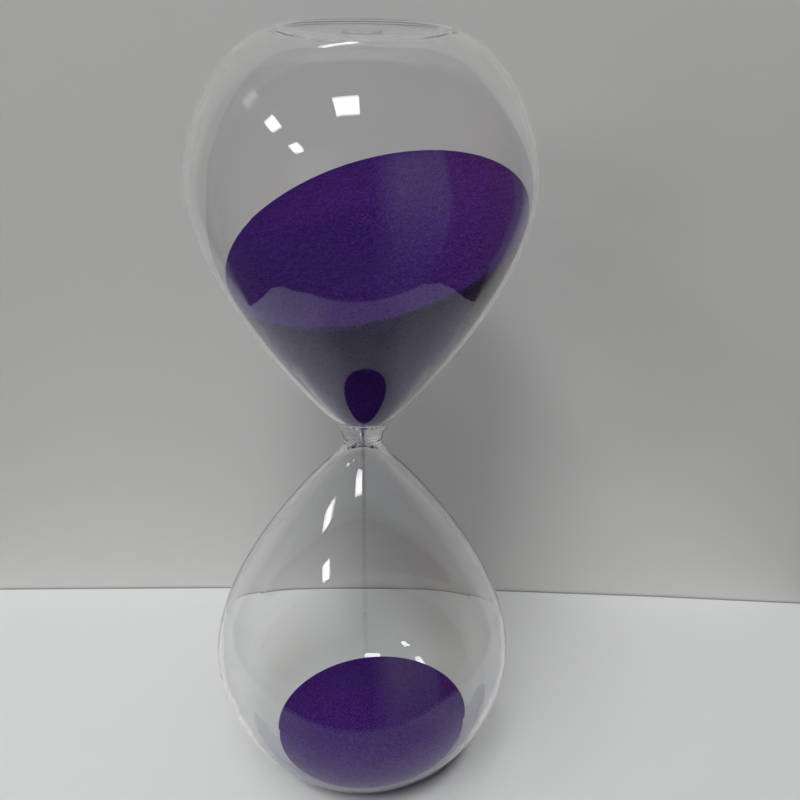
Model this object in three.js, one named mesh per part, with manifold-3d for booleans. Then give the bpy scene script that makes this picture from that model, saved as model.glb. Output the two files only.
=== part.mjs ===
// A blown-glass sand timer that stands free on either end, in millimetres.
// It stands on the plane z = 0 with its axis on z. Two equal drop-shaped bulbs are
// fused to a thick-walled throat at the waist, and one end is closed by a glass seal.
// Every outline is drawn as (radius, rise), where rise is counted from the waist plane,
// then turned about the axis. The lower half is drawn the same way and turned over.
import * as THREE from 'three';
import { mergeVertices } from 'three/addons/utils/BufferGeometryUtils.js';
import Module from 'manifold-3d';

// Driving dimensions of the glass.
const HEIGHT = 250;
const LOWER_HEIGHT = 124;
const UPPER_HEIGHT = HEIGHT - LOWER_HEIGHT;
const WALL = 1.6;
const BELLY_RADIUS = 51.2;
const BELLY_TO_END = 42;
const SEAM_RADIUS = 10.9;
const SEAM_ANGLE = THREE.MathUtils.degToRad(46.5);

// The wall is thicker near the throat, so its inside leaves the seam by its own curve.
const INNER_SEAM_RADIUS = 8.3;
const INNER_SEAM_ANGLE = THREE.MathUtils.degToRad(48);

// The end: a narrow flat ring to stand on, round a centre pushed in while it was hot.
const RING_RADIUS = 23;
const RING_WIDTH = 1.2;
const KICK_DEPTH = 1.6;
const END_WALL = 1.8;

// The throat: its waist and the fine bore through it.
const WAIST_RADIUS = 6.3;
const WAIST_RISE = 0.7;
const BORE_RADIUS = 0.75;

// Each half: the rise of its end, of its seam and of its end of the bore, how wide the
// floor round the bore is flat, and how far the wall runs straight on below the seam.
// Over the bore the glass makes a thick floor, and under it the wall flares at once.
const UPPER_HALF = { end: UPPER_HEIGHT, seam: 9.6, bore: 6.8, flat: 5.6, straight: 2.6 };
const LOWER_HALF = { end: LOWER_HEIGHT, seam: 8.1, bore: 0.4, flat: 2.8, straight: 6 };

// The seal that closes the filling hole: a stem in the hole under a domed button.
const FILL_HOLE_RADIUS = 4.5;
const BUTTON_RADIUS = 5.6;
const BUTTON_HEIGHT = 0.6;

// The sand. Each surface is a plane, tilted towards its heading, at its height on the axis.
const UPPER_LEVEL = 67;
const UPPER_TILT = THREE.MathUtils.degToRad(19.9);
const UPPER_HEADING = THREE.MathUtils.degToRad(45);
const CRATER_RADIUS = 27;
const CRATER_DEPTH = 5;
const LOWER_LEVEL = LOWER_HEIGHT - 8.1;
const LOWER_TILT = THREE.MathUtils.degToRad(5.6);
const LOWER_HEADING = THREE.MathUtils.degToRad(-22);
const HEAP_RADIUS = 34;
const HEAP_HEIGHT = 7;

// Clear space between pieces that touch on the real object.
const GAP = 0.3;
const SIDES = 40;
const FINE_SIDES = 24;

const point = (radius, rise) => new THREE.Vector2(radius, rise);

// A cubic curve through the given corner points, as a list of (radius, rise) points.
function curve(steps, start, startPull, endPull, end) {
  return new THREE.CubicBezierCurve(start, startPull, endPull, end).getPoints(steps);
}

// The point reached by going from a point by a length, at an angle to the axis.
function alongCone(from, length, angle) {
  return point(from.x + length * Math.sin(angle), from.y + length * Math.cos(angle));
}

// The outline moved towards the axis by a distance square to itself.
function movedInward(outline, distance) {
  return outline.map((p, i) => {
    const before = outline[Math.max(i - 1, 0)];
    const after = outline[Math.min(i + 1, outline.length - 1)];
    const along = after.clone().sub(before).normalize();
    return point(p.x - distance * along.y, p.y + distance * along.x);
  });
}

// The outline without its first point, so that it joins the one before it.
const joined = (outline) => outline.slice(1);

// Both surfaces of the wall where a half's bulb meets the throat.
const outerSeam = (half) => point(SEAM_RADIUS, half.seam);
const innerSeam = (half) => point(INNER_SEAM_RADIUS, half.seam);

// Outside of the shoulder from the belly to the ring.
function shoulder(half) {
  const belly = point(BELLY_RADIUS, half.end - BELLY_TO_END);
  const ring = point(RING_RADIUS + RING_WIDTH / 2, half.end);
  return curve(9, belly, point(BELLY_RADIUS, belly.y + 11.5), point(42.4, half.end - 3.1), ring);
}

// Outside of a bulb from the seam, over the belly and the shoulder, to the ring.
function bulbOutside(half) {
  const belly = point(BELLY_RADIUS, half.end - BELLY_TO_END);
  const pull = alongCone(outerSeam(half), 8, SEAM_ANGLE);
  const cone = curve(10, outerSeam(half), pull, point(BELLY_RADIUS, belly.y - 28), belly);
  return [...cone, ...joined(shoulder(half))];
}

// Inside of a bulb's wall, over the same stretch, up to the edge of its floor.
function bulbInside(half) {
  const belly = point(BELLY_RADIUS - WALL, half.end - BELLY_TO_END);
  const pull = alongCone(innerSeam(half), 19, INNER_SEAM_ANGLE);
  const cone = curve(10, innerSeam(half), pull, point(belly.x, belly.y - 25), belly);
  return [...cone, ...movedInward(shoulder(half), WALL).slice(1, -1)];
}

// The pushed-in end from the ring to the axis. Its inside goes smoothly on from the wall.
function endOutside(half) {
  const edge = point(RING_RADIUS - RING_WIDTH / 2, half.end);
  const centre = half.end - KICK_DEPTH;
  return curve(5, edge, point(edge.x - 3, half.end - 0.6), point(11, centre), point(0, centre));
}

function endInside(half) {
  const [before, wallEnd] = bulbInside(half).slice(-2);
  const onward = wallEnd.clone().sub(before).setLength(4).add(wallEnd);
  const centre = half.end - KICK_DEPTH - END_WALL;
  return curve(5, wallEnd, onward, point(12, centre), point(0, centre));
}

// Inside of the throat from the bore, out over the floor round it, to the bulb's wall.
function funnel(half) {
  const bore = point(BORE_RADIUS, half.bore);
  const pull = alongCone(innerSeam(half), -half.straight, INNER_SEAM_ANGLE);
  return curve(7, bore, point(half.flat, half.bore), pull, innerSeam(half));
}

// The part of an outline at or beyond a radius, for the end that has the filling hole.
function cutAtRadius(outline, radius) {
  const kept = outline.filter((p) => p.x > radius);
  const next = outline[kept.length];
  const last = kept.at(-1);
  const share = (last.x - radius) / (last.x - next.x);
  return [...kept, last.clone().lerp(next, share)];
}

// The outline turned about the axis as a closed body, with z up.
function turned(outline, sides = SIDES) {
  return new THREE.LatheGeometry(outline, sides).rotateX(Math.PI / 2);
}

// A bulb from the seam to its end, with a filling hole where one is asked for.
function bulb(half, fillHoleRadius) {
  const open = fillHoleRadius > 0;
  const outsideEnd = open ? cutAtRadius(endOutside(half), fillHoleRadius) : endOutside(half);
  const insideEnd = open ? cutAtRadius(endInside(half), fillHoleRadius) : endInside(half);
  const outside = [...bulbOutside(half), ...outsideEnd];
  const inside = [...bulbInside(half), ...joined(insideEnd)];
  const loop = open
    ? [...inside.reverse(), ...outside, inside[0]]
    : [...inside.reverse(), ...outside];
  return turned(loop);
}

// One half of the throat, from the seam in to the waist outside and to the bore inside.
function throatOutside(half) {
  const seam = alongCone(outerSeam(half), -GAP / Math.cos(SEAM_ANGLE), SEAM_ANGLE);
  const waist = point(WAIST_RADIUS, WAIST_RISE);
  const waistPull = point(WAIST_RADIUS, WAIST_RISE + 1.2);
  return curve(9, seam, alongCone(seam, -6.3, SEAM_ANGLE), waistPull, waist);
}

function throatInside(half) {
  const inside = funnel(half).reverse();
  inside[0] = alongCone(innerSeam(half), -GAP / Math.cos(INNER_SEAM_ANGLE), INNER_SEAM_ANGLE);
  return inside;
}

// The throat between the two seams.
function throat() {
  const mirrored = (outline) => outline.map((p) => point(p.x, -p.y)).reverse();
  const outside = [...throatOutside(UPPER_HALF), ...mirrored(throatOutside(LOWER_HALF))].reverse();
  const inside = [...throatInside(UPPER_HALF), ...mirrored(throatInside(LOWER_HALF))];
  return turned([...outside, ...inside, outside[0]]);
}

// The glass seal: a stem through the end wall and a domed button over it.
function seal() {
  const stem = FILL_HOLE_RADIUS - GAP;
  const foot = UPPER_HEIGHT - KICK_DEPTH - END_WALL;
  const head = UPPER_HEIGHT - KICK_DEPTH + 2 * GAP;
  const dome = curve(
    6,
    point(BUTTON_RADIUS, head + GAP),
    point(BUTTON_RADIUS, head + BUTTON_HEIGHT),
    point(BUTTON_RADIUS / 2, head + BUTTON_HEIGHT),
    point(0, head + BUTTON_HEIGHT),
  );
  const side = [point(0, foot), point(stem, foot), point(stem, head), point(BUTTON_RADIUS, head)];
  return turned([...side, ...dome]);
}

// Everything inside the glass of a half from its bore up, a gap clear of the wall.
function cavity(half) {
  const wall = [...funnel(half), ...joined(bulbInside(half)), ...joined(endInside(half))];
  const clear = movedInward(wall, GAP).filter((p) => p.y > half.bore && p.x > 0);
  const foot = point(clear[0].x, clear[0].y - GAP / 2);
  return turned([point(0, foot.y), foot, ...clear, point(0, clear.at(-1).y)]);
}

// The open space over a sand surface, whose middle is sunk or heaped by a height.
function spaceOver(middleRadius, middleHeight) {
  const steps = 6;
  const reach = 3 * BELLY_RADIUS;
  const surface = [];
  for (let i = 0; i <= steps; i += 1) {
    const share = i / steps;
    const height = middleHeight * (1 + Math.cos(Math.PI * share)) / 2;
    surface.push(point(middleRadius * share, height));
  }
  return turned([...surface, point(reach, 0), point(reach, reach), point(0, reach)]);
}

const wasm = await Module();
wasm.setup();

// A geometry as a solid that can be cut, with its doubled and empty faces taken out.
function solid(geometry) {
  const bare = geometry.clone().deleteAttribute('normal').deleteAttribute('uv');
  const welded = mergeVertices(bare, 1e-4);
  const corners = welded.index.array;
  const triVerts = [];
  for (let i = 0; i < corners.length; i += 3) {
    const [a, b, c] = corners.slice(i, i + 3);
    if (a !== b && b !== c && c !== a) {
      triVerts.push(a, b, c);
    }
  }
  const vertProperties = new Float32Array(welded.attributes.position.array);
  return new wasm.Manifold(new wasm.Mesh({
    numProp: 3,
    vertProperties,
    triVerts: new Uint32Array(triVerts),
  }));
}

function geometryOf(cutSolid) {
  const mesh = cutSolid.getMesh();
  const geometry = new THREE.BufferGeometry();
  geometry.setAttribute('position', new THREE.BufferAttribute(mesh.vertProperties, 3));
  geometry.setIndex(new THREE.BufferAttribute(mesh.triVerts, 1));
  geometry.computeVertexNormals();
  return geometry;
}

// A matrix that tilts a level surface so that it rises towards a heading.
function tilted(angle, heading, level) {
  const axis = new THREE.Vector3(Math.sin(heading), -Math.cos(heading), 0);
  const turn = new THREE.Matrix4().makeRotationAxis(axis, angle);
  return new THREE.Matrix4().makeTranslation(0, 0, level).multiply(turn);
}

// The charge left in the upper bulb, with a shallow crater over the throat.
function upperSand() {
  const space = spaceOver(CRATER_RADIUS, -CRATER_DEPTH);
  space.applyMatrix4(tilted(UPPER_TILT, UPPER_HEADING, UPPER_LEVEL));
  return geometryOf(solid(cavity(UPPER_HALF)).subtract(solid(space)));
}

// The sand that has run down, in a low heap on the floor of the lower bulb.
function lowerSand() {
  const space = spaceOver(HEAP_RADIUS, HEAP_HEIGHT);
  space.applyMatrix4(tilted(LOWER_TILT, LOWER_HEADING, -LOWER_LEVEL));
  const floor = cavity(LOWER_HALF).rotateX(Math.PI);
  return geometryOf(solid(floor).subtract(solid(space)));
}

// The thread of falling sand from the bore to the top of the heap.
function stream() {
  const top = UPPER_HALF.bore - GAP;
  const radius = BORE_RADIUS - GAP;
  const bottom = HEAP_HEIGHT + GAP - LOWER_LEVEL;
  const outline = [point(0, bottom), point(radius, bottom), point(radius, top), point(0, top)];
  return turned(outline, FINE_SIDES / 2);
}

function glass() {
  return new THREE.MeshStandardMaterial({
    color: 0xf3f7f6,
    roughness: 0.03,
    metalness: 0,
    transparent: true,
    opacity: 0.25,
  });
}

function sand() {
  return new THREE.MeshStandardMaterial({ color: 0x3a1d62, roughness: 0.9, metalness: 0 });
}

function piece(name, geometry, material) {
  const mesh = new THREE.Mesh(geometry, material);
  mesh.name = name;
  return mesh;
}

const timer = new THREE.Group();
timer.name = 'hourglass';
timer.position.z = LOWER_HEIGHT;

const lowerHalf = new THREE.Group();
lowerHalf.rotation.x = Math.PI;
lowerHalf.add(piece('lower_bulb', bulb(LOWER_HALF, 0), glass()));

timer.add(
  piece('upper_bulb', bulb(UPPER_HALF, FILL_HOLE_RADIUS), glass()),
  piece('throat', throat(), glass()),
  piece('end_seal', seal(), glass()),
  piece('upper_sand', upperSand(), sand()),
  piece('sand_stream', stream(), sand()),
  piece('lower_sand', lowerSand(), sand()),
  lowerHalf,
);

export default timer;
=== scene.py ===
"""A free-standing blown-glass sand timer with violet sand, part run down, in metres.

The timer stands on z = 0 with its axis on z. Its waist is just below the middle.
"""

from collections import namedtuple

import bpy
import numpy as np
from mathutils import Matrix, Vector


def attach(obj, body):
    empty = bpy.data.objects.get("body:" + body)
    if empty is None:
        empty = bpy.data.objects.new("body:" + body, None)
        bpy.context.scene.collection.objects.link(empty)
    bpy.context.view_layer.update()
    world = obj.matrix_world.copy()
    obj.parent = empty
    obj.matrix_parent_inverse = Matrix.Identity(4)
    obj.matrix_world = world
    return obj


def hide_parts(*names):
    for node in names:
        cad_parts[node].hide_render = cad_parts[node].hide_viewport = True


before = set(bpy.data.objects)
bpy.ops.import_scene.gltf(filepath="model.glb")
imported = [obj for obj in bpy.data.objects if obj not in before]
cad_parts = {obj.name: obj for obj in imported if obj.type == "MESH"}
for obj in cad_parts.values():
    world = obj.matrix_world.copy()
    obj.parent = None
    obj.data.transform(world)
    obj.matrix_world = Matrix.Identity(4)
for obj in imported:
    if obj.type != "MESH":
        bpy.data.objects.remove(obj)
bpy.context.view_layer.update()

# ---------------------------------------------------------------------------------------
# The camera. It looks down at the timer from a little above its top, a hand's length
# in front of it.
camera_place = (0.0, -0.2943, 0.2769)
pitch_down, yaw_right, roll_over = np.radians([25.27, 2.31, 0.93])

ahead = np.array([np.sin(yaw_right) * np.cos(pitch_down),
                  np.cos(yaw_right) * np.cos(pitch_down),
                  -np.sin(pitch_down)])
level_right = np.array([np.cos(yaw_right), -np.sin(yaw_right), 0.0])
level_up = np.cross(level_right, ahead)
right = level_right * np.cos(roll_over) + level_up * np.sin(roll_over)
up = level_up * np.cos(roll_over) - level_right * np.sin(roll_over)

camera_data = bpy.data.cameras.new("camera")
camera_data.lens, camera_data.sensor_width = 46.0, 36.0
camera_data.clip_start = 0.01
camera = bpy.data.objects.new("camera", camera_data)
turn = Matrix(np.column_stack([right, up, -ahead]).tolist()).to_4x4()
camera.matrix_world = Matrix.Translation(camera_place) @ turn
bpy.context.scene.collection.objects.link(camera)
bpy.context.scene.camera = camera


# ---------------------------------------------------------------------------------------
# The table top and the wall behind it: matt off-white paint. The wall bends a little
# towards the front on the right. The floor past the table's edges only shows where
# nothing else does.
def new_mesh(name, points, faces, smooth=True):
    """A mesh object from points and faces, which may be quads and triangles."""
    mesh = bpy.data.meshes.new(name)
    mesh.from_pydata(np.asarray(points, float).tolist(), [], faces)
    mesh.validate()
    mesh.polygons.foreach_set("use_smooth", np.full(len(mesh.polygons), smooth))
    mesh.update()
    made = bpy.data.objects.new(name, mesh)
    bpy.context.scene.collection.objects.link(made)
    return made


def strip(across, along):
    """Quads of a grid of across by along points, counted along each line in turn."""
    first = np.arange(across * along).reshape(across, along)[:-1, :-1].ravel()
    return np.column_stack([first, first + along, first + along + 1, first + 1]).tolist()


def new_material(name, **sockets):
    """A material with one Principled shader, with the sockets named set to plain values."""
    material = bpy.data.materials.new(name)
    material.use_nodes = True
    shader = material.node_tree.nodes["Principled BSDF"]
    for socket, value in sockets.items():
        shader.inputs[socket.replace("_", " ")].default_value = value
    return material, material.node_tree, shader


def add_node(tree, kind, inputs=(), **settings):
    """A shader node's outputs. The node gets its settings first. Then each input, by name
    or place, is linked where it is given an output, and otherwise set to the value."""
    made = tree.nodes.new("ShaderNode" + kind)
    for setting, value in settings.items():
        setattr(made, setting, value)
    for slot, value in dict(inputs).items():
        if isinstance(value, bpy.types.NodeSocket):
            tree.links.new(value, made.inputs[slot])
        else:
            made.inputs[slot].default_value = value
    return made.outputs


def maths(tree, operation, *values):
    """The result of one Math node."""
    return add_node(tree, "Math", enumerate(values), operation=operation)[0]


def distance_from(tree, place, point):
    """How far a place, in the object's own coordinates, is from a fixed point."""
    return add_node(tree, "VectorMath", {0: place, 1: point}, operation="DISTANCE")["Value"]


def eased(tree, value, start, end, low=0.0, high=1.0, pace="SMOOTHSTEP"):
    """Goes from low to high as the value goes from start to end, and is held at both. The
    share s of the way is eased to 3 s^2 - 2 s^3, unless the pace is linear."""
    return add_node(tree, "MapRange", {"Value": value, "From Min": start, "From Max": end,
                                       "To Min": low, "To Max": high},
                    interpolation_type=pace)["Result"]


def mixed_colour(tree, share, first, second):
    """The first colour, with a share of the second one mixed in."""
    return add_node(tree, "Mix", {"Factor": share, "A": first, "B": second},
                    data_type="RGBA")["Result"]


def mixed_shader(tree, share, first, second):
    """The first shader, with a share of the second one mixed in."""
    return add_node(tree, "MixShader", {0: share, 1: first, 2: second})[0]


def object_place(tree):
    """The shaded point in the object's own coordinates, in metres."""
    return add_node(tree, "TexCoord")["Object"]


def set_surface(tree, shader):
    """Makes a shader the material's surface."""
    tree.links.new(shader, tree.nodes["Material Output"].inputs["Surface"])


paint_colour = (0.78, 0.78, 0.765, 1)
table_colour = (0.80, 0.815, 0.81, 1)
table_edge = np.array([[-0.192, 0.20], [-0.192, -0.05], [-0.177, -0.085], [-0.112, -0.125],
                       [-0.026, -0.141], [0.058, -0.144], [0.140, -0.136], [0.178, -0.10],
                       [0.192, -0.05], [0.205, 0.20]])
table_thickness, floor_reach, floor_drop = 0.025, 4.0, 0.0005
wall_path = np.array([[-0.60, 0.093], [-0.06, 0.092], [0.03, 0.0905],
                      [0.13, 0.083], [0.20, 0.0765], [0.30, 0.066]])
wall_height, joint_height, joint_gap = 0.90, 0.0006, 0.0003

# The wall is clear from behind. Where the glass mirrors it, its far sides are shaded.
paint, paint_tree, paint_shader = new_material(
    "wall_paint", Base_Color=paint_colour, Roughness=0.85)
see_through = add_node(paint_tree, "BsdfTransparent")[0]
from_behind = add_node(paint_tree, "NewGeometry")["Backfacing"]
set_surface(paint_tree, mixed_shader(paint_tree, from_behind, paint_shader.outputs[0],
                                     see_through))
mirrored = add_node(paint_tree, "LightPath")["Glossy Depth"]
across_wall = add_node(paint_tree, "SeparateXYZ", {0: object_place(paint_tree)})["X"]
far_aside = eased(paint_tree, maths(paint_tree, "ABSOLUTE", across_wall), 0.18, 0.23)
wall_tone = mixed_colour(paint_tree, maths(paint_tree, "MULTIPLY", far_aside, mirrored),
                         paint_colour, (0.36, 0.34, 0.34, 1))
paint_tree.links.new(wall_tone, paint_shader.inputs["Base Color"])

# Where the glass mirrors the table, it is painted with shade: darker, most of all close in
# front of the foot. It stays pale towards the back where it is mirrored at a slant.
table_paint, table_tree, table_shader = new_material("table_paint", Roughness=0.75)
table_place = object_place(table_tree)
mirrored = add_node(table_tree, "LightPath")["Glossy Depth"]
past_front = eased(table_tree, distance_from(table_tree, table_place, (0.0, -0.10, 0.0)),
                   0.04, 0.11)
shaded_tone = mixed_colour(table_tree, past_front, (0.34, 0.35, 0.39, 1),
                           (0.53, 0.55, 0.62, 1))
at_back = eased(table_tree, distance_from(table_tree, table_place, (0.0, 0.075, 0.0)),
                0.112, 0.100)
at_slant = eased(table_tree, add_node(table_tree, "LayerWeight")["Facing"], 0.14, 0.24)
mirrored_tone = mixed_colour(table_tree, maths(table_tree, "MULTIPLY", at_slant, at_back),
                             shaded_tone, (0.80, 0.80, 0.79, 1))
table_tree.links.new(mixed_colour(table_tree, mirrored, table_colour, mirrored_tone),
                     table_shader.inputs["Base Color"])

wall_points = np.array([[x, y, z] for x, y in wall_path for z in (0.0, wall_height)])
back_wall = new_mesh("back_wall", wall_points, strip(len(wall_path), 2), smooth=False)
back_wall.data.materials.append(paint)

# A strip painted dark along the joint between the wall and the table: painted shade of the gap
# there.
joint_points = np.array([[x, y - joint_gap, z] for x, y in wall_path
                         for z in (0.0, joint_height)])
wall_joint = new_mesh("wall_joint", joint_points, strip(len(wall_path), 2), smooth=False)
joint_shade, _, _ = new_material("joint_shade", Base_Color=(0.42, 0.42, 0.41, 1), Roughness=0.9)
wall_joint.data.materials.append(joint_shade)

corners = len(table_edge)
table_points = [[x, y, z] for z in (-table_thickness, 0.0) for x, y in table_edge]
table_faces = [tuple(range(corners))[::-1], tuple(range(corners, 2 * corners))]
table_faces += [(i, (i + 1) % corners, (i + 1) % corners + corners, i + corners)
                for i in range(corners)]
table_top = new_mesh("table_top", table_points, table_faces, smooth=False)
table_top.data.materials.append(table_paint)

# The floor past the table's edges is clear where the glass mirrors it.
floor_points = [[x * floor_reach, y * floor_reach, -floor_drop]
                for x, y in ((-1, -1), (1, -1), (1, 1), (-1, 1))]
far_floor = new_mesh("far_floor", floor_points, [(0, 1, 2, 3)], smooth=False)
floor_paint, floor_tree, floor_shader = new_material(
    "floor_paint", Base_Color=table_colour, Roughness=0.75)
mirrored = add_node(floor_tree, "LightPath")["Glossy Depth"]
see_through = add_node(floor_tree, "BsdfTransparent")[0]
set_surface(floor_tree, mixed_shader(floor_tree, mirrored, floor_shader.outputs[0],
                                     see_through))
far_floor.data.materials.append(floor_paint)
far_floor.visible_diffuse = far_floor.visible_shadow = False


# ---------------------------------------------------------------------------------------
# The light: three square ceiling panels and two small panes, which the glass mirrors,
# and four soft lamps, which it doesn't. The plain room round them is pale, but the
# glass mirrors it darker in front and reddish on the right.
def lamp(name, place, size, watts, aim=None, in_glass=True):
    """A square lamp at a place. It shines straight down, or at the point aimed at."""
    data = bpy.data.lights.new(name, "AREA")
    data.shape, data.size, data.energy = "SQUARE", size, watts
    made = bpy.data.objects.new(name, data)
    made.location = place
    if aim is not None:
        towards = Vector(aim) - made.location
        made.rotation_euler = towards.to_track_quat("-Z", "Y").to_euler()
    made.visible_glossy = made.visible_transmission = in_glass
    made.visible_camera = False
    bpy.context.scene.collection.objects.link(made)
    return made


soft_aim, soft_reach, soft_size = (0, 0, 0.10), 1.35, 0.45


def soft_place(bearing, height):
    """The place of a soft lamp, on a sphere round the point it is aimed at. Its bearing
    is from the front, to the right, and its height is above the level, in degrees."""
    b, h = np.radians([bearing, height])
    return (soft_reach * np.sin(b) * np.cos(h), -soft_reach * np.cos(b) * np.cos(h),
            soft_aim[2] + soft_reach * np.sin(h))


lamp("panel_near", (-0.334, -1.215, 2.00), 0.54, 11)
lamp("panel_left", (-2.635, -0.960, 2.00), 0.54, 12)
lamp("panel_far", (-2.457, -2.370, 2.00), 0.50, 12)
lamp("window_pane", (-0.42, 0.047, 0.490), 0.07, 0.02, (0, 0, 0.24))
strip_pane = lamp("strip_pane", (-0.022, 0.055, 0.360), 0.044, 0.010,
                  (-0.006, -0.029, 0.248))
strip_pane.data.shape, strip_pane.data.size_y = "RECTANGLE", 0.010
strip_pane.rotation_euler.rotate_axis("Z", np.radians(25))
strip_pane.visible_diffuse = strip_pane.visible_transmission = False
for name, bearing, height, watts in (("soft_front", -15, 65, 3.8),
                                     ("soft_overhead", -40, 80, 3.4),
                                     ("soft_left", -40, 65, 1.6), ("soft_low", -40, 8, 1.1)):
    lamp(name, soft_place(bearing, height), soft_size, watts, soft_aim, in_glass=False)


def grey(level):
    """A grey of that level."""
    return (level, level, level, 1)


def colour_ramp(tree, share, stops):
    """The colour at a share from 0 to 1, blended between stops of a place and a colour."""
    ramp = add_node(tree, "ValToRGB", {0: share})[0]
    elements = ramp.node.color_ramp.elements
    while len(elements) > 1:
        elements.remove(elements[-1])
    for count, (place, colour) in enumerate(stops):
        stop = elements.new(place) if count else elements[0]
        stop.position, stop.color = place, colour
    return ramp


ROOM_FILL, ROOM_PALE, ROOM_DIM = 0.005, 0.45, 0.035
room_side, room_red = grey(0.20), (0.19, 0.07, 0.05, 1)
# The mirrored room's tones: round it, by degrees from the front to the right, and up it,
# how much of the dim tone replaces them, by how steeply the mirrored ray climbs.
round_room = ((-180, room_side), (-127, room_side), (-90, grey(ROOM_DIM)),
              (6, grey(ROOM_DIM)), (24, grey(0.38)), (54, (0.36, 0.34, 0.34, 1)),
              (58, room_red), (100, room_red), (127, room_side))
dim_by_rise = ((-0.7, 0.85), (-0.1, 0.35), (0.2, 0.0), (0.42, 0.0), (0.55, 1.0))

world = bpy.data.worlds.new("room")
bpy.context.scene.world = world
world.use_nodes = True
room_tree = world.node_tree
heading = add_node(room_tree, "TexCoord")["Generated"]
heading = add_node(room_tree, "SeparateXYZ", {0: heading})
bearing = maths(room_tree, "ARCTAN2", heading["X"],
                maths(room_tree, "MULTIPLY", heading["Y"], -1))
round_share = eased(room_tree, bearing, -np.pi, np.pi, pace="LINEAR")
rise_share = eased(room_tree, heading["Z"], -1, 1, pace="LINEAR")
round_tone = colour_ramp(room_tree, round_share, [((degrees + 180) / 360, tone)
                                                  for degrees, tone in round_room])
dim_share = colour_ramp(room_tree, rise_share, [((rise + 1) / 2, grey(share))
                                                for rise, share in dim_by_rise])
mirrored_tone = mixed_colour(room_tree, dim_share, round_tone, grey(ROOM_DIM))
fill, pale, mirrored = (
    add_node(room_tree, "Background", {"Color": tone})[0]
    for tone in (grey(ROOM_FILL), grey(ROOM_PALE), mirrored_tone))
ray = add_node(room_tree, "LightPath")
seen = maths(room_tree, "MAXIMUM", ray["Is Camera Ray"], ray["Is Transmission Ray"])
fill_or_pale = mixed_shader(room_tree, seen, fill, pale)
room_tree.links.new(mixed_shader(room_tree, ray["Glossy Depth"], fill_or_pale, mirrored),
                    room_tree.nodes["World Output"].inputs["Surface"])

# Light crosses the two walls of both bulbs many times. Caustics are left out.
bpy.context.scene.view_settings.view_transform = "Standard"
cycles = bpy.context.scene.cycles
cycles.caustics_reflective = cycles.caustics_refractive = False
cycles.max_bounces = 48
cycles.transparent_max_bounces = cycles.transmission_bounces = cycles.glossy_bounces = 32

# ---------------------------------------------------------------------------------------
# The glass: one blown envelope of clear borosilicate. Two bulbs of the same width are
# fused to a thick-walled throat with a fine bore, and each end is pushed in to a flat
# ring. The top end keeps a filling hole.

# Sizes are in millimetres, and outlines are pairs of a radius and a rise from the waist.
HEIGHT, LOWER_HEIGHT = 250.0, 124.0
UPPER_HEIGHT = HEIGHT - LOWER_HEIGHT
WALL, SEAM_WALL, END_WALL = 1.6, 1.3, 1.8
BELLY_RADIUS, BELLY_TO_END = 51.2, 42.0
SEAM_RADIUS, SEAM_ANGLE = 10.9, np.radians(46.5)
RING_RADIUS, RING_WIDTH, KICK_DEPTH = 23.0, 1.2, 1.6
RING_FLAT, RING_EDGE = 0.4, 0.08
WAIST_RADIUS, WAIST_RISE = 6.3, 0.7
RIPPLE_DEPTH, RIPPLES = 0.12, 8
BORE_RADIUS, FILL_HOLE_RADIUS = 0.6, 4.5

# How far each curve runs on straight at its ends: the cone from the seam and into the
# belly, the shoulder out of the belly, the waist up from its middle and into the seam.
CONE_PULLS, SHOULDER_PULL, WAIST_PULLS = (8.0, 28.0), 11.5, (0.6, 5.4)
# Where an end's curves are pulled to, each with its depth below the end: the shoulder to
# a radius, and the dish to a distance in from the ring's inner edge.
SHOULDER_TURN, DISH_TURN, DISH_MIDDLE = (42.4, 3.1), (5.0, 0.45), 13.0
END_PULL, END_MIDDLE, FUNNEL_PULL = 4.0, 12.0, 1.0

# Each half: the rise of its end, its seam and its bore's end, then how wide the floor
# round the bore is flat, and how far the wall runs straight on below the seam.
Half = namedtuple("Half", "end seam bore flat straight")
upper_half = Half(UPPER_HEIGHT, 9.6, 6.8, 5.6, 2.6)
lower_half = Half(LOWER_HEIGHT, 8.1, 0.4, 2.8, 6.0)


def curve(steps, *corners):
    """Points of the cubic curve whose start, two pulls and end are the corners."""
    t = np.linspace(0, 1, steps + 1)[:, None]
    a, b, c, d = (np.asarray(corner, float) for corner in corners)
    return (1 - t) ** 3 * a + 3 * (1 - t) ** 2 * t * b + 3 * (1 - t) * t**2 * c + t**3 * d


def along_cone(start, length, angle):
    """The point reached from start by going a length at an angle to the axis."""
    return np.asarray(start) + length * np.array([np.sin(angle), np.cos(angle)])


def moved_inward(outline, distance):
    """The outline moved towards the axis by a distance square to its own slope."""
    slope = np.gradient(outline, axis=0)
    slope /= np.linalg.norm(slope, axis=1)[:, None]
    return outline + distance * np.column_stack([-slope[:, 1], slope[:, 0]])


def bulb_outside(half):
    """The outside of a half's bulb, from the seam to the belly and on to the ring."""
    seam, belly = (SEAM_RADIUS, half.seam), half.end - BELLY_TO_END
    cone = curve(44, seam, along_cone(seam, CONE_PULLS[0], SEAM_ANGLE),
                 (BELLY_RADIUS, belly - CONE_PULLS[1]), (BELLY_RADIUS, belly))
    shoulder = curve(40, (BELLY_RADIUS, belly), (BELLY_RADIUS, belly + SHOULDER_PULL),
                     (SHOULDER_TURN[0], half.end - SHOULDER_TURN[1]),
                     (RING_RADIUS + RING_WIDTH / 2, half.end))
    return cone, shoulder


def bulb_inside(half):
    """The inside of the wall over the same stretch. The wall thins towards the seam."""
    cone, shoulder = bulb_outside(half)
    thickness = np.linspace(SEAM_WALL, WALL, len(cone))[:, None]
    return np.vstack([moved_inward(cone, thickness), moved_inward(shoulder, WALL)[1:-2]])


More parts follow.
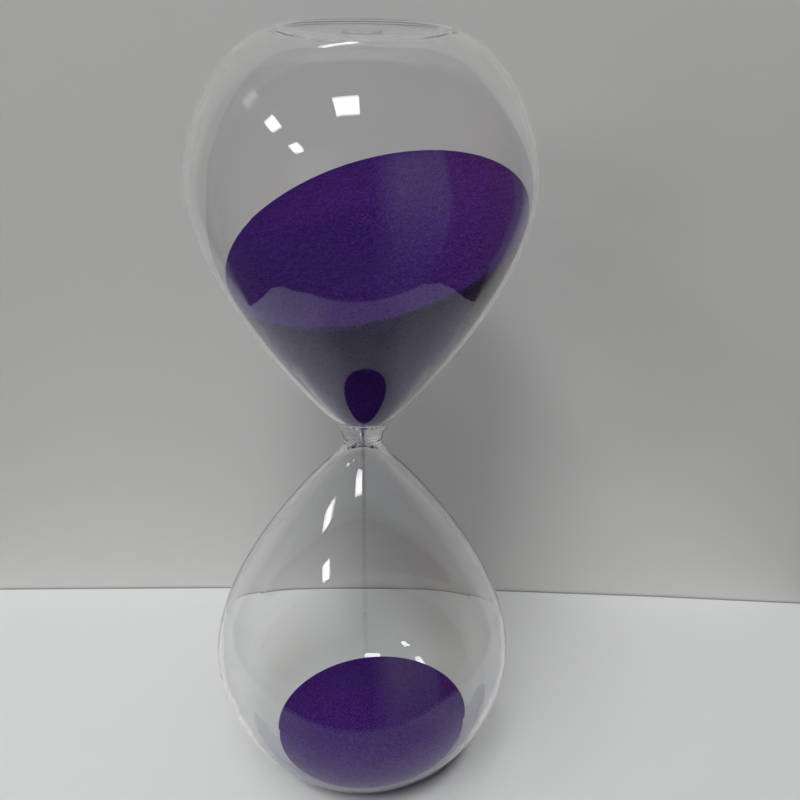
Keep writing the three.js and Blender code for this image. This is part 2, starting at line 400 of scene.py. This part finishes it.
def end_outside(half):
    """The pushed-in end from the ring to the axis. The ring's edges are rounded."""
    end, centre, edge = half.end, half.end - KICK_DEPTH, RING_RADIUS - RING_WIDTH / 2
    foot = curve(8, (RING_RADIUS + RING_WIDTH / 2, end), (RING_RADIUS + RING_FLAT / 2, end),
                 (RING_RADIUS - RING_FLAT / 2, end), (edge, end - RING_EDGE))
    dish = curve(24, (edge, end - RING_EDGE), (edge - DISH_TURN[0], end - DISH_TURN[1]),
                 (DISH_MIDDLE, centre), (0, centre))
    return np.vstack([foot[1:], dish[1:]])


def end_inside(half):
    """The inside of the same end, going smoothly on from the wall to the axis."""
    before, start = bulb_inside(half)[-2:]
    onward = start + (start - before) / np.linalg.norm(start - before) * END_PULL
    centre = half.end - KICK_DEPTH - END_WALL
    return curve(32, start, onward, (END_MIDDLE, centre), (0, centre))[1:]


def funnel(half):
    """The inside from the bore, out over the floor round it, to the seam."""
    seam = bulb_inside(half)[0]
    return curve(32, (BORE_RADIUS, half.bore), (half.flat, half.bore),
                 along_cone(seam, -half.straight - FUNNEL_PULL, SEAM_ANGLE), seam)


def half_outside(half):
    """The whole outside of one half, from the waist plane to the axis at its end. The
    upper waist has the rings of the weld: waves of the radius that fade at both ends."""
    seam = (SEAM_RADIUS, half.seam)
    waist = curve(90, (WAIST_RADIUS, WAIST_RISE), (WAIST_RADIUS, WAIST_RISE + WAIST_PULLS[0]),
                  along_cone(seam, -WAIST_PULLS[1], SEAM_ANGLE), seam)
    if half.end == UPPER_HEIGHT:
        run = np.linspace(0, 1, len(waist))
        fade = np.sin(np.pi * run)
        waist[:, 0] += RIPPLE_DEPTH * np.sin(2 * np.pi * RIPPLES * run) * fade
    cone, shoulder = bulb_outside(half)
    return np.vstack([[(WAIST_RADIUS, 0)], waist, cone[1:], shoulder[1:], end_outside(half)])


def half_inside(half):
    """The whole inside of one half, from the bore to the axis at its end."""
    return np.vstack([funnel(half), bulb_inside(half)[1:], end_inside(half)])


def down(outline):
    """The outline of the lower half: the upper one mirrored in the waist plane."""
    return outline * (1, -1)


def cut_at_radius(outline, radius):
    """The outline cut where it last crosses a radius, ended exactly on that radius."""
    last = np.flatnonzero(outline[:, 0] > radius)[-1]
    a, b = outline[last], outline[last + 1]
    return np.vstack([outline[:last + 1], a + (b - a) * (a[0] - radius) / (a[0] - b[0])])


def turned(name, outline, sides):
    """A closed body: the outline in millimetres, from one pole to the other with the body
    on its left, turned about the axis. Each end on the axis is one shared point."""
    outline = (np.asarray(outline, float) + (0, LOWER_HEIGHT)) * 1e-3
    angle = np.linspace(0, 2 * np.pi, sides, endpoint=False)[:, None]
    rings = outline[1:-1]
    points = np.stack([np.cos(angle) * rings[:, 0], np.sin(angle) * rings[:, 0],
                       np.ones_like(angle) * rings[:, 1]], axis=-1)
    count = len(rings)
    poles = [[0, 0, outline[0, 1]], [0, 0, outline[-1, 1]]]
    corner = np.arange(sides)[:, None] * count + np.arange(count - 1)
    beside = (np.arange(sides)[:, None] + 1) % sides * count + np.arange(count - 1)
    quads = np.stack([corner, beside, beside + 1, corner + 1], axis=-1).reshape(-1, 4)
    first, last = np.arange(sides) * count, np.arange(sides) * count + count - 1
    foot, head = sides * count, sides * count + 1
    low_fan = np.column_stack([np.full(sides, foot), np.roll(first, -1), first])
    high_fan = np.column_stack([np.full(sides, head), last, np.roll(last, -1)])
    faces = quads.tolist() + low_fan.tolist() + high_fan.tolist()
    return new_mesh(name, np.vstack([points.reshape(-1, 3), poles]), faces)


upper_inside = half_inside(upper_half)
glass_outline = np.vstack([
    down(half_outside(lower_half))[::-1],
    cut_at_radius(half_outside(upper_half), FILL_HOLE_RADIUS)[1:],
    cut_at_radius(upper_inside, FILL_HOLE_RADIUS)[::-1],
    down(half_inside(lower_half)),
])

# Shadow and diffuse rays go straight through, less what the surface mirrors of them. So
# do rays that were mirrored and are in the air: those have crossed a wall whole or not
# at all, so the count of surfaces they went through is even.
GLASS_IOR, GLASS_LOSS = 1.47, 0.85
clear_glass, glass_tree, glass_shader = new_material(
    "clear_glass", Base_Color=(0.985, 0.99, 0.987, 1), Roughness=0.0, IOR=GLASS_IOR,
    Transmission_Weight=1.0)
ray = add_node(glass_tree, "LightPath")
lights = maths(glass_tree, "MAXIMUM", ray["Is Shadow Ray"], ray["Is Diffuse Ray"])
in_glass = maths(glass_tree, "PINGPONG", ray["Transmission Depth"], 1)
in_air = maths(glass_tree, "LESS_THAN", in_glass, 0.5)
passes = maths(glass_tree, "MAXIMUM", lights,
               maths(glass_tree, "MULTIPLY", ray["Glossy Depth"], in_air))
mirrored_share = add_node(glass_tree, "Fresnel", {"IOR": GLASS_IOR})[0]
kept_light = mixed_colour(glass_tree, maths(glass_tree, "MULTIPLY", mirrored_share, lights),
                          grey(1), grey(GLASS_LOSS))
thin_clear = add_node(glass_tree, "BsdfTransparent", {"Color": kept_light})[0]
set_surface(glass_tree, mixed_shader(glass_tree, passes, glass_shader.outputs[0],
                                     thin_clear))

glass_envelope = turned("glass_envelope", glass_outline, 192)
glass_envelope.data.materials.append(clear_glass)
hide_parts("upper_bulb", "lower_bulb", "throat")
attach(glass_envelope, "root")

# ---------------------------------------------------------------------------------------
# The seal: a bead of the same glass, melted into the filling hole from above, with a
# stem through the end wall and a domed button over it.
BUTTON_RADIUS, BUTTON_HEIGHT, BUTTON_ROUND, BUTTON_GAP = 5.6, 0.45, 0.15, 0.15
MELT_LINE, STEM_BEVEL = 0.05, 0.3
stem_radius = FILL_HOLE_RADIUS - MELT_LINE
stem_foot = UPPER_HEIGHT - KICK_DEPTH - END_WALL
button_foot = UPPER_HEIGHT - KICK_DEPTH + BUTTON_GAP
button_top = button_foot + BUTTON_HEIGHT
seal_outline = np.vstack([
    [(0, stem_foot), (stem_radius - STEM_BEVEL, stem_foot),
     (stem_radius, stem_foot + STEM_BEVEL), (stem_radius, button_foot)],
    curve(6, (BUTTON_RADIUS - BUTTON_ROUND, button_foot), (BUTTON_RADIUS, button_foot),
          (BUTTON_RADIUS, button_foot), (BUTTON_RADIUS, button_foot + BUTTON_ROUND)),
    curve(14, (BUTTON_RADIUS, button_foot + BUTTON_ROUND), (BUTTON_RADIUS, button_top),
          (BUTTON_RADIUS / 2, button_top), (0, button_top))[1:],
])
seal_bead = turned("seal_bead", seal_outline, 96)
seal_bead.data.materials.append(clear_glass)
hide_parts("end_seal")
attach(seal_bead, "root")

# ---------------------------------------------------------------------------------------
# The upper sand: dyed quartz grains that fill the bulb below a tilted plane, with a
# shallow crater over the bore. Dry grains lie a hair's breadth off the glass.
SAND_GAP, SAND_CORE = 0.15, 0.5
ROUGH_HEIGHT, FINE_WAVE, BROAD_WAVE, BROAD_SHARE = 0.05, 1.1, 6.0, 1.6
UPPER_LEVEL = 67.0
UPPER_SLOPE = np.array([0.257, 0.255])
CRATER_RADIUS, CRATER_DEPTH = 27.0, 5.0


def disc(count):
    """A square grid of count by count points laid out over the unit disc, each square
    ring of it on a circle. Gives each point's share of the radius and its angle."""
    u, v = np.meshgrid(np.linspace(-1, 1, count), np.linspace(-1, 1, count), indexing="ij")
    wide = np.abs(u) >= np.abs(v)
    share = np.where(wide, u, v)
    safe = np.where(share == 0, 1, share)
    angle = np.where(wide, v / safe * np.pi / 4, np.pi / 2 - u / safe * np.pi / 4)
    return np.abs(share), np.where(share < 0, angle + np.pi, angle)


def wave_noise(x, y, size, seed, waves=60):
    """A smooth random height field: the mean of many plane waves about size long."""
    pick = np.random.default_rng(seed)
    turn, phase = pick.uniform(0, 2 * np.pi, (2, waves))
    length = size * pick.uniform(0.6, 1.6, waves)
    total = np.zeros_like(x)
    for t, p, s in zip(turn, phase, length):
        total += np.sin((x * np.cos(t) + y * np.sin(t)) * 2 * np.pi / s + p)
    return total / np.sqrt(waves / 2)


def round_hump(radius, reach, height):
    """A hump in the shape of one wave, highest on the axis and gone at its reach."""
    return height * (1 + np.cos(np.pi * np.minimum(radius / reach, 1))) / 2


def wall_line(inside):
    """The line that sand keeps to, a gap inside the wall, and clear of the axis."""
    line = moved_inward(inside, SAND_GAP)
    return line[line[:, 0] > SAND_CORE]


def sand_body(name, wall, level, slope, hump, count, rows, seed):
    """A closed body of sand. Its top is a disc of points over the plane of that level and
    slope, plus the hump's height at each radius and a little roughness. Its side goes
    from the rim along the wall's line to the line's first point, at the foot."""
    share, angle = disc(count)
    walk = np.concatenate([[0], np.cumsum(np.hypot(*np.diff(wall, axis=0).T))])
    climb = slice(np.argmin(wall[:, 1]), None)
    climb_radius, climb_rise = wall[climb].T
    lean = slope[0] * np.cos(angle) + slope[1] * np.sin(angle)
    radius = np.interp(level, climb_rise, climb_radius) * np.ones_like(angle)
    # Halfway steps settle on the radius at which the plane meets the wall.
    for _ in range(40):
        radius = 0.5 * (radius + np.interp(level + lean * radius, climb_rise, climb_radius))
    x, y = share * radius * np.cos(angle), share * radius * np.sin(angle)
    rough = ROUGH_HEIGHT * (wave_noise(x, y, FINE_WAVE, seed)
                            + BROAD_SHARE * wave_noise(x, y, BROAD_WAVE, seed + 1))
    z = (level + slope[0] * x + slope[1] * y + round_hump(np.hypot(x, y), *hump)
         + rough * (share < 1))
    order = np.arange(count * count).reshape(count, count)
    rim = np.concatenate([order[:-1, 0], order[-1, :-1], order[:0:-1, -1], order[0, :0:-1]])
    top = np.column_stack([x.ravel(), y.ravel(), z.ravel()])
    rim_angle, rim_rise = np.arctan2(top[rim, 1], top[rim, 0]), top[rim, 2]
    left_to_walk = 1 - (np.arange(1, rows + 1) / rows)[:, None]
    side_walk = np.interp(rim_rise, climb_rise, walk[climb]) * left_to_walk
    side_radius = np.interp(side_walk, walk, wall[:, 0])
    side = np.stack([side_radius * np.cos(rim_angle), side_radius * np.sin(rim_angle),
                     np.interp(side_walk, walk, wall[:, 1])], axis=-1).reshape(-1, 3)
    around = len(rim)
    lines = np.vstack([rim, count * count + np.arange(rows * around).reshape(rows, around)])
    beside = np.roll(lines, -1, axis=1)
    quads = np.stack([lines[:-1], lines[1:], beside[1:], beside[:-1]], axis=-1).reshape(-1, 4)
    foot = len(top) + len(side)
    fan = np.column_stack([np.full(around, foot), beside[-1], lines[-1]])
    points = (np.vstack([top, side, [[0, 0, wall[0, 1]]]]) + (0, 0, LOWER_HEIGHT)) * 1e-3
    faces = strip(count, count) + quads.tolist() + fan.tolist()
    return new_mesh(name, points, faces)


# Each grain has a tone of its own and a facet that faces its own way. The middle of the
# upper slope is painted darker, as painted shade in the crater, and the heap below is
# painted brighter, as painted light.
GRAINS_PER_METRE, FACET_TURN = 2600, 0.5
dark_grain, plain_grain, pale_grain = (
    (0.021, 0.0050, 0.066, 1), (0.037, 0.0092, 0.112, 1), (0.065, 0.0185, 0.184, 1))
slope_middle = (-0.012, -0.006, 0.185)
violet_sand, sand_tree, sand_shader = new_material(
    "violet_sand", Base_Color=plain_grain, Roughness=0.7, Specular_IOR_Level=0.02)
sand_place = object_place(sand_tree)
grain = add_node(sand_tree, "TexVoronoi",
                 {"Scale": GRAINS_PER_METRE, "Vector": sand_place})["Color"]
grain_share = add_node(sand_tree, "SeparateColor", {0: grain})[0]
tone = colour_ramp(sand_tree, grain_share,
                   [(0, dark_grain), (0.6, plain_grain), (0.97, pale_grain)])
# Painted shade: the sand round the middle of the upper slope is made darker.
painted_crater_shade = eased(sand_tree, distance_from(sand_tree, sand_place, slope_middle),
              0.010, 0.036, 0.82, 1.04)
# Painted light: the sand lower down, in the lower bulb and at the thread's foot, is made
# brighter.
rise = add_node(sand_tree, "SeparateXYZ", {0: sand_place})["Z"]
painted_lower_light = eased(sand_tree, rise, 0.13, 0.11, 1.0, 1.35, pace="LINEAR")
levelled = add_node(sand_tree, "VectorMath",
                    {0: tone, "Scale": maths(sand_tree, "MULTIPLY", painted_crater_shade, painted_lower_light)},
                    operation="SCALE")[0]
sand_tree.links.new(levelled, sand_shader.inputs["Base Color"])
outward = add_node(sand_tree, "NewGeometry")["Normal"]
tip = add_node(sand_tree, "VectorMath", {0: grain, 1: (0.5, 0.5, 0.5)},
               operation="SUBTRACT")[0]
tipped = add_node(sand_tree, "VectorMath", {0: tip, 1: (FACET_TURN,) * 3, 2: outward},
                  operation="MULTIPLY_ADD")[0]
facet = add_node(sand_tree, "VectorMath", {0: tipped}, operation="NORMALIZE")[0]
sand_tree.links.new(facet, sand_shader.inputs["Normal"])

upper_wall = wall_line(upper_inside)
upper_sand = sand_body("upper_sand_charge", upper_wall, UPPER_LEVEL, UPPER_SLOPE,
                       (CRATER_RADIUS, -CRATER_DEPTH), 240, 24, 11)
upper_sand.data.materials.append(violet_sand)
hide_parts("upper_sand")
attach(upper_sand, "root")

# ---------------------------------------------------------------------------------------
# The lower sand: the same dyed grains, as far as they have run down. They lie in a low
# heap on the pushed-in floor of the bulb, and nothing holds them but the glass.
LOWER_LEVEL = 8.1 - LOWER_HEIGHT
LOWER_SLOPE = np.array([0.091, -0.037])
HEAP_RADIUS, HEAP_HEIGHT = 34.0, 7.0

lower_wall = down(wall_line(half_inside(lower_half)))[::-1]
lower_sand = sand_body("lower_sand_heap", lower_wall, LOWER_LEVEL, LOWER_SLOPE,
                       (HEAP_RADIUS, HEAP_HEIGHT), 200, 24, 21)
lower_sand.data.materials.append(violet_sand)
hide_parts("lower_sand")
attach(lower_sand, "root")

# ---------------------------------------------------------------------------------------
# The thread of falling sand, from the bore to the heap: the same dyed grains. It leaves
# the bore as a solid jet and comes apart into single grains as they speed up.

# Each grain is an eight-sided splinter. How far it has fallen is a power of a random
# share, so that the thread thins out, and it lies within the thread's radius, which
# grows with the root of the fall.
STREAM_GRAINS, STREAM_LEAN, STREAM_END_GAP = 2800, 1.2, 0.4
BORE_SPREAD, FIRST_SPREAD, SPREAD_GROWTH = 0.35, 0.45, 0.75
THINNING, CROWDING = 1.7, 0.6
GRAIN_SIZES, GRAIN_STRETCH = (0.045, 0.065), (1, 1, 1.6)
pick = np.random.default_rng(5)
fall = pick.uniform(0, 1, STREAM_GRAINS) ** THINNING
stream_top = upper_half.bore - STREAM_END_GAP
stream_foot = LOWER_LEVEL + HEAP_HEIGHT + STREAM_END_GAP
centre_rise = stream_top + (stream_foot - stream_top) * fall
spread = np.where(centre_rise > -lower_half.bore, BORE_SPREAD,
                  FIRST_SPREAD + SPREAD_GROWTH * np.sqrt(fall))
turn_at = pick.uniform(0, 2 * np.pi, STREAM_GRAINS)
off_axis = spread * pick.uniform(0, 1, STREAM_GRAINS) ** CROWDING
centres = np.column_stack([off_axis * np.cos(turn_at) + STREAM_LEAN * fall,
                           off_axis * np.sin(turn_at), centre_rise])
grain_corners = np.array([(1, 0, 0), (0, 1, 0), (-1, 0, 0), (0, -1, 0), (0, 0, 1), (0, 0, -1)])
grain_faces = np.array([(0, 1, 4), (1, 2, 4), (2, 3, 4), (3, 0, 4),
                        (1, 0, 5), (2, 1, 5), (3, 2, 5), (0, 3, 5)])
stretch = pick.uniform(*GRAIN_SIZES, (STREAM_GRAINS, 1, 3)) * GRAIN_STRETCH
stream_points = (grain_corners[None] * stretch + centres[:, None]).reshape(-1, 3)
stream_faces = (grain_faces[None]
                + 6 * np.arange(STREAM_GRAINS)[:, None, None]).reshape(-1, 3)
sand_thread = new_mesh("sand_thread", (stream_points + (0, 0, LOWER_HEIGHT)) * 1e-3,
                       stream_faces.tolist())
sand_thread.data.materials.append(violet_sand)
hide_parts("sand_stream")
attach(sand_thread, "root")
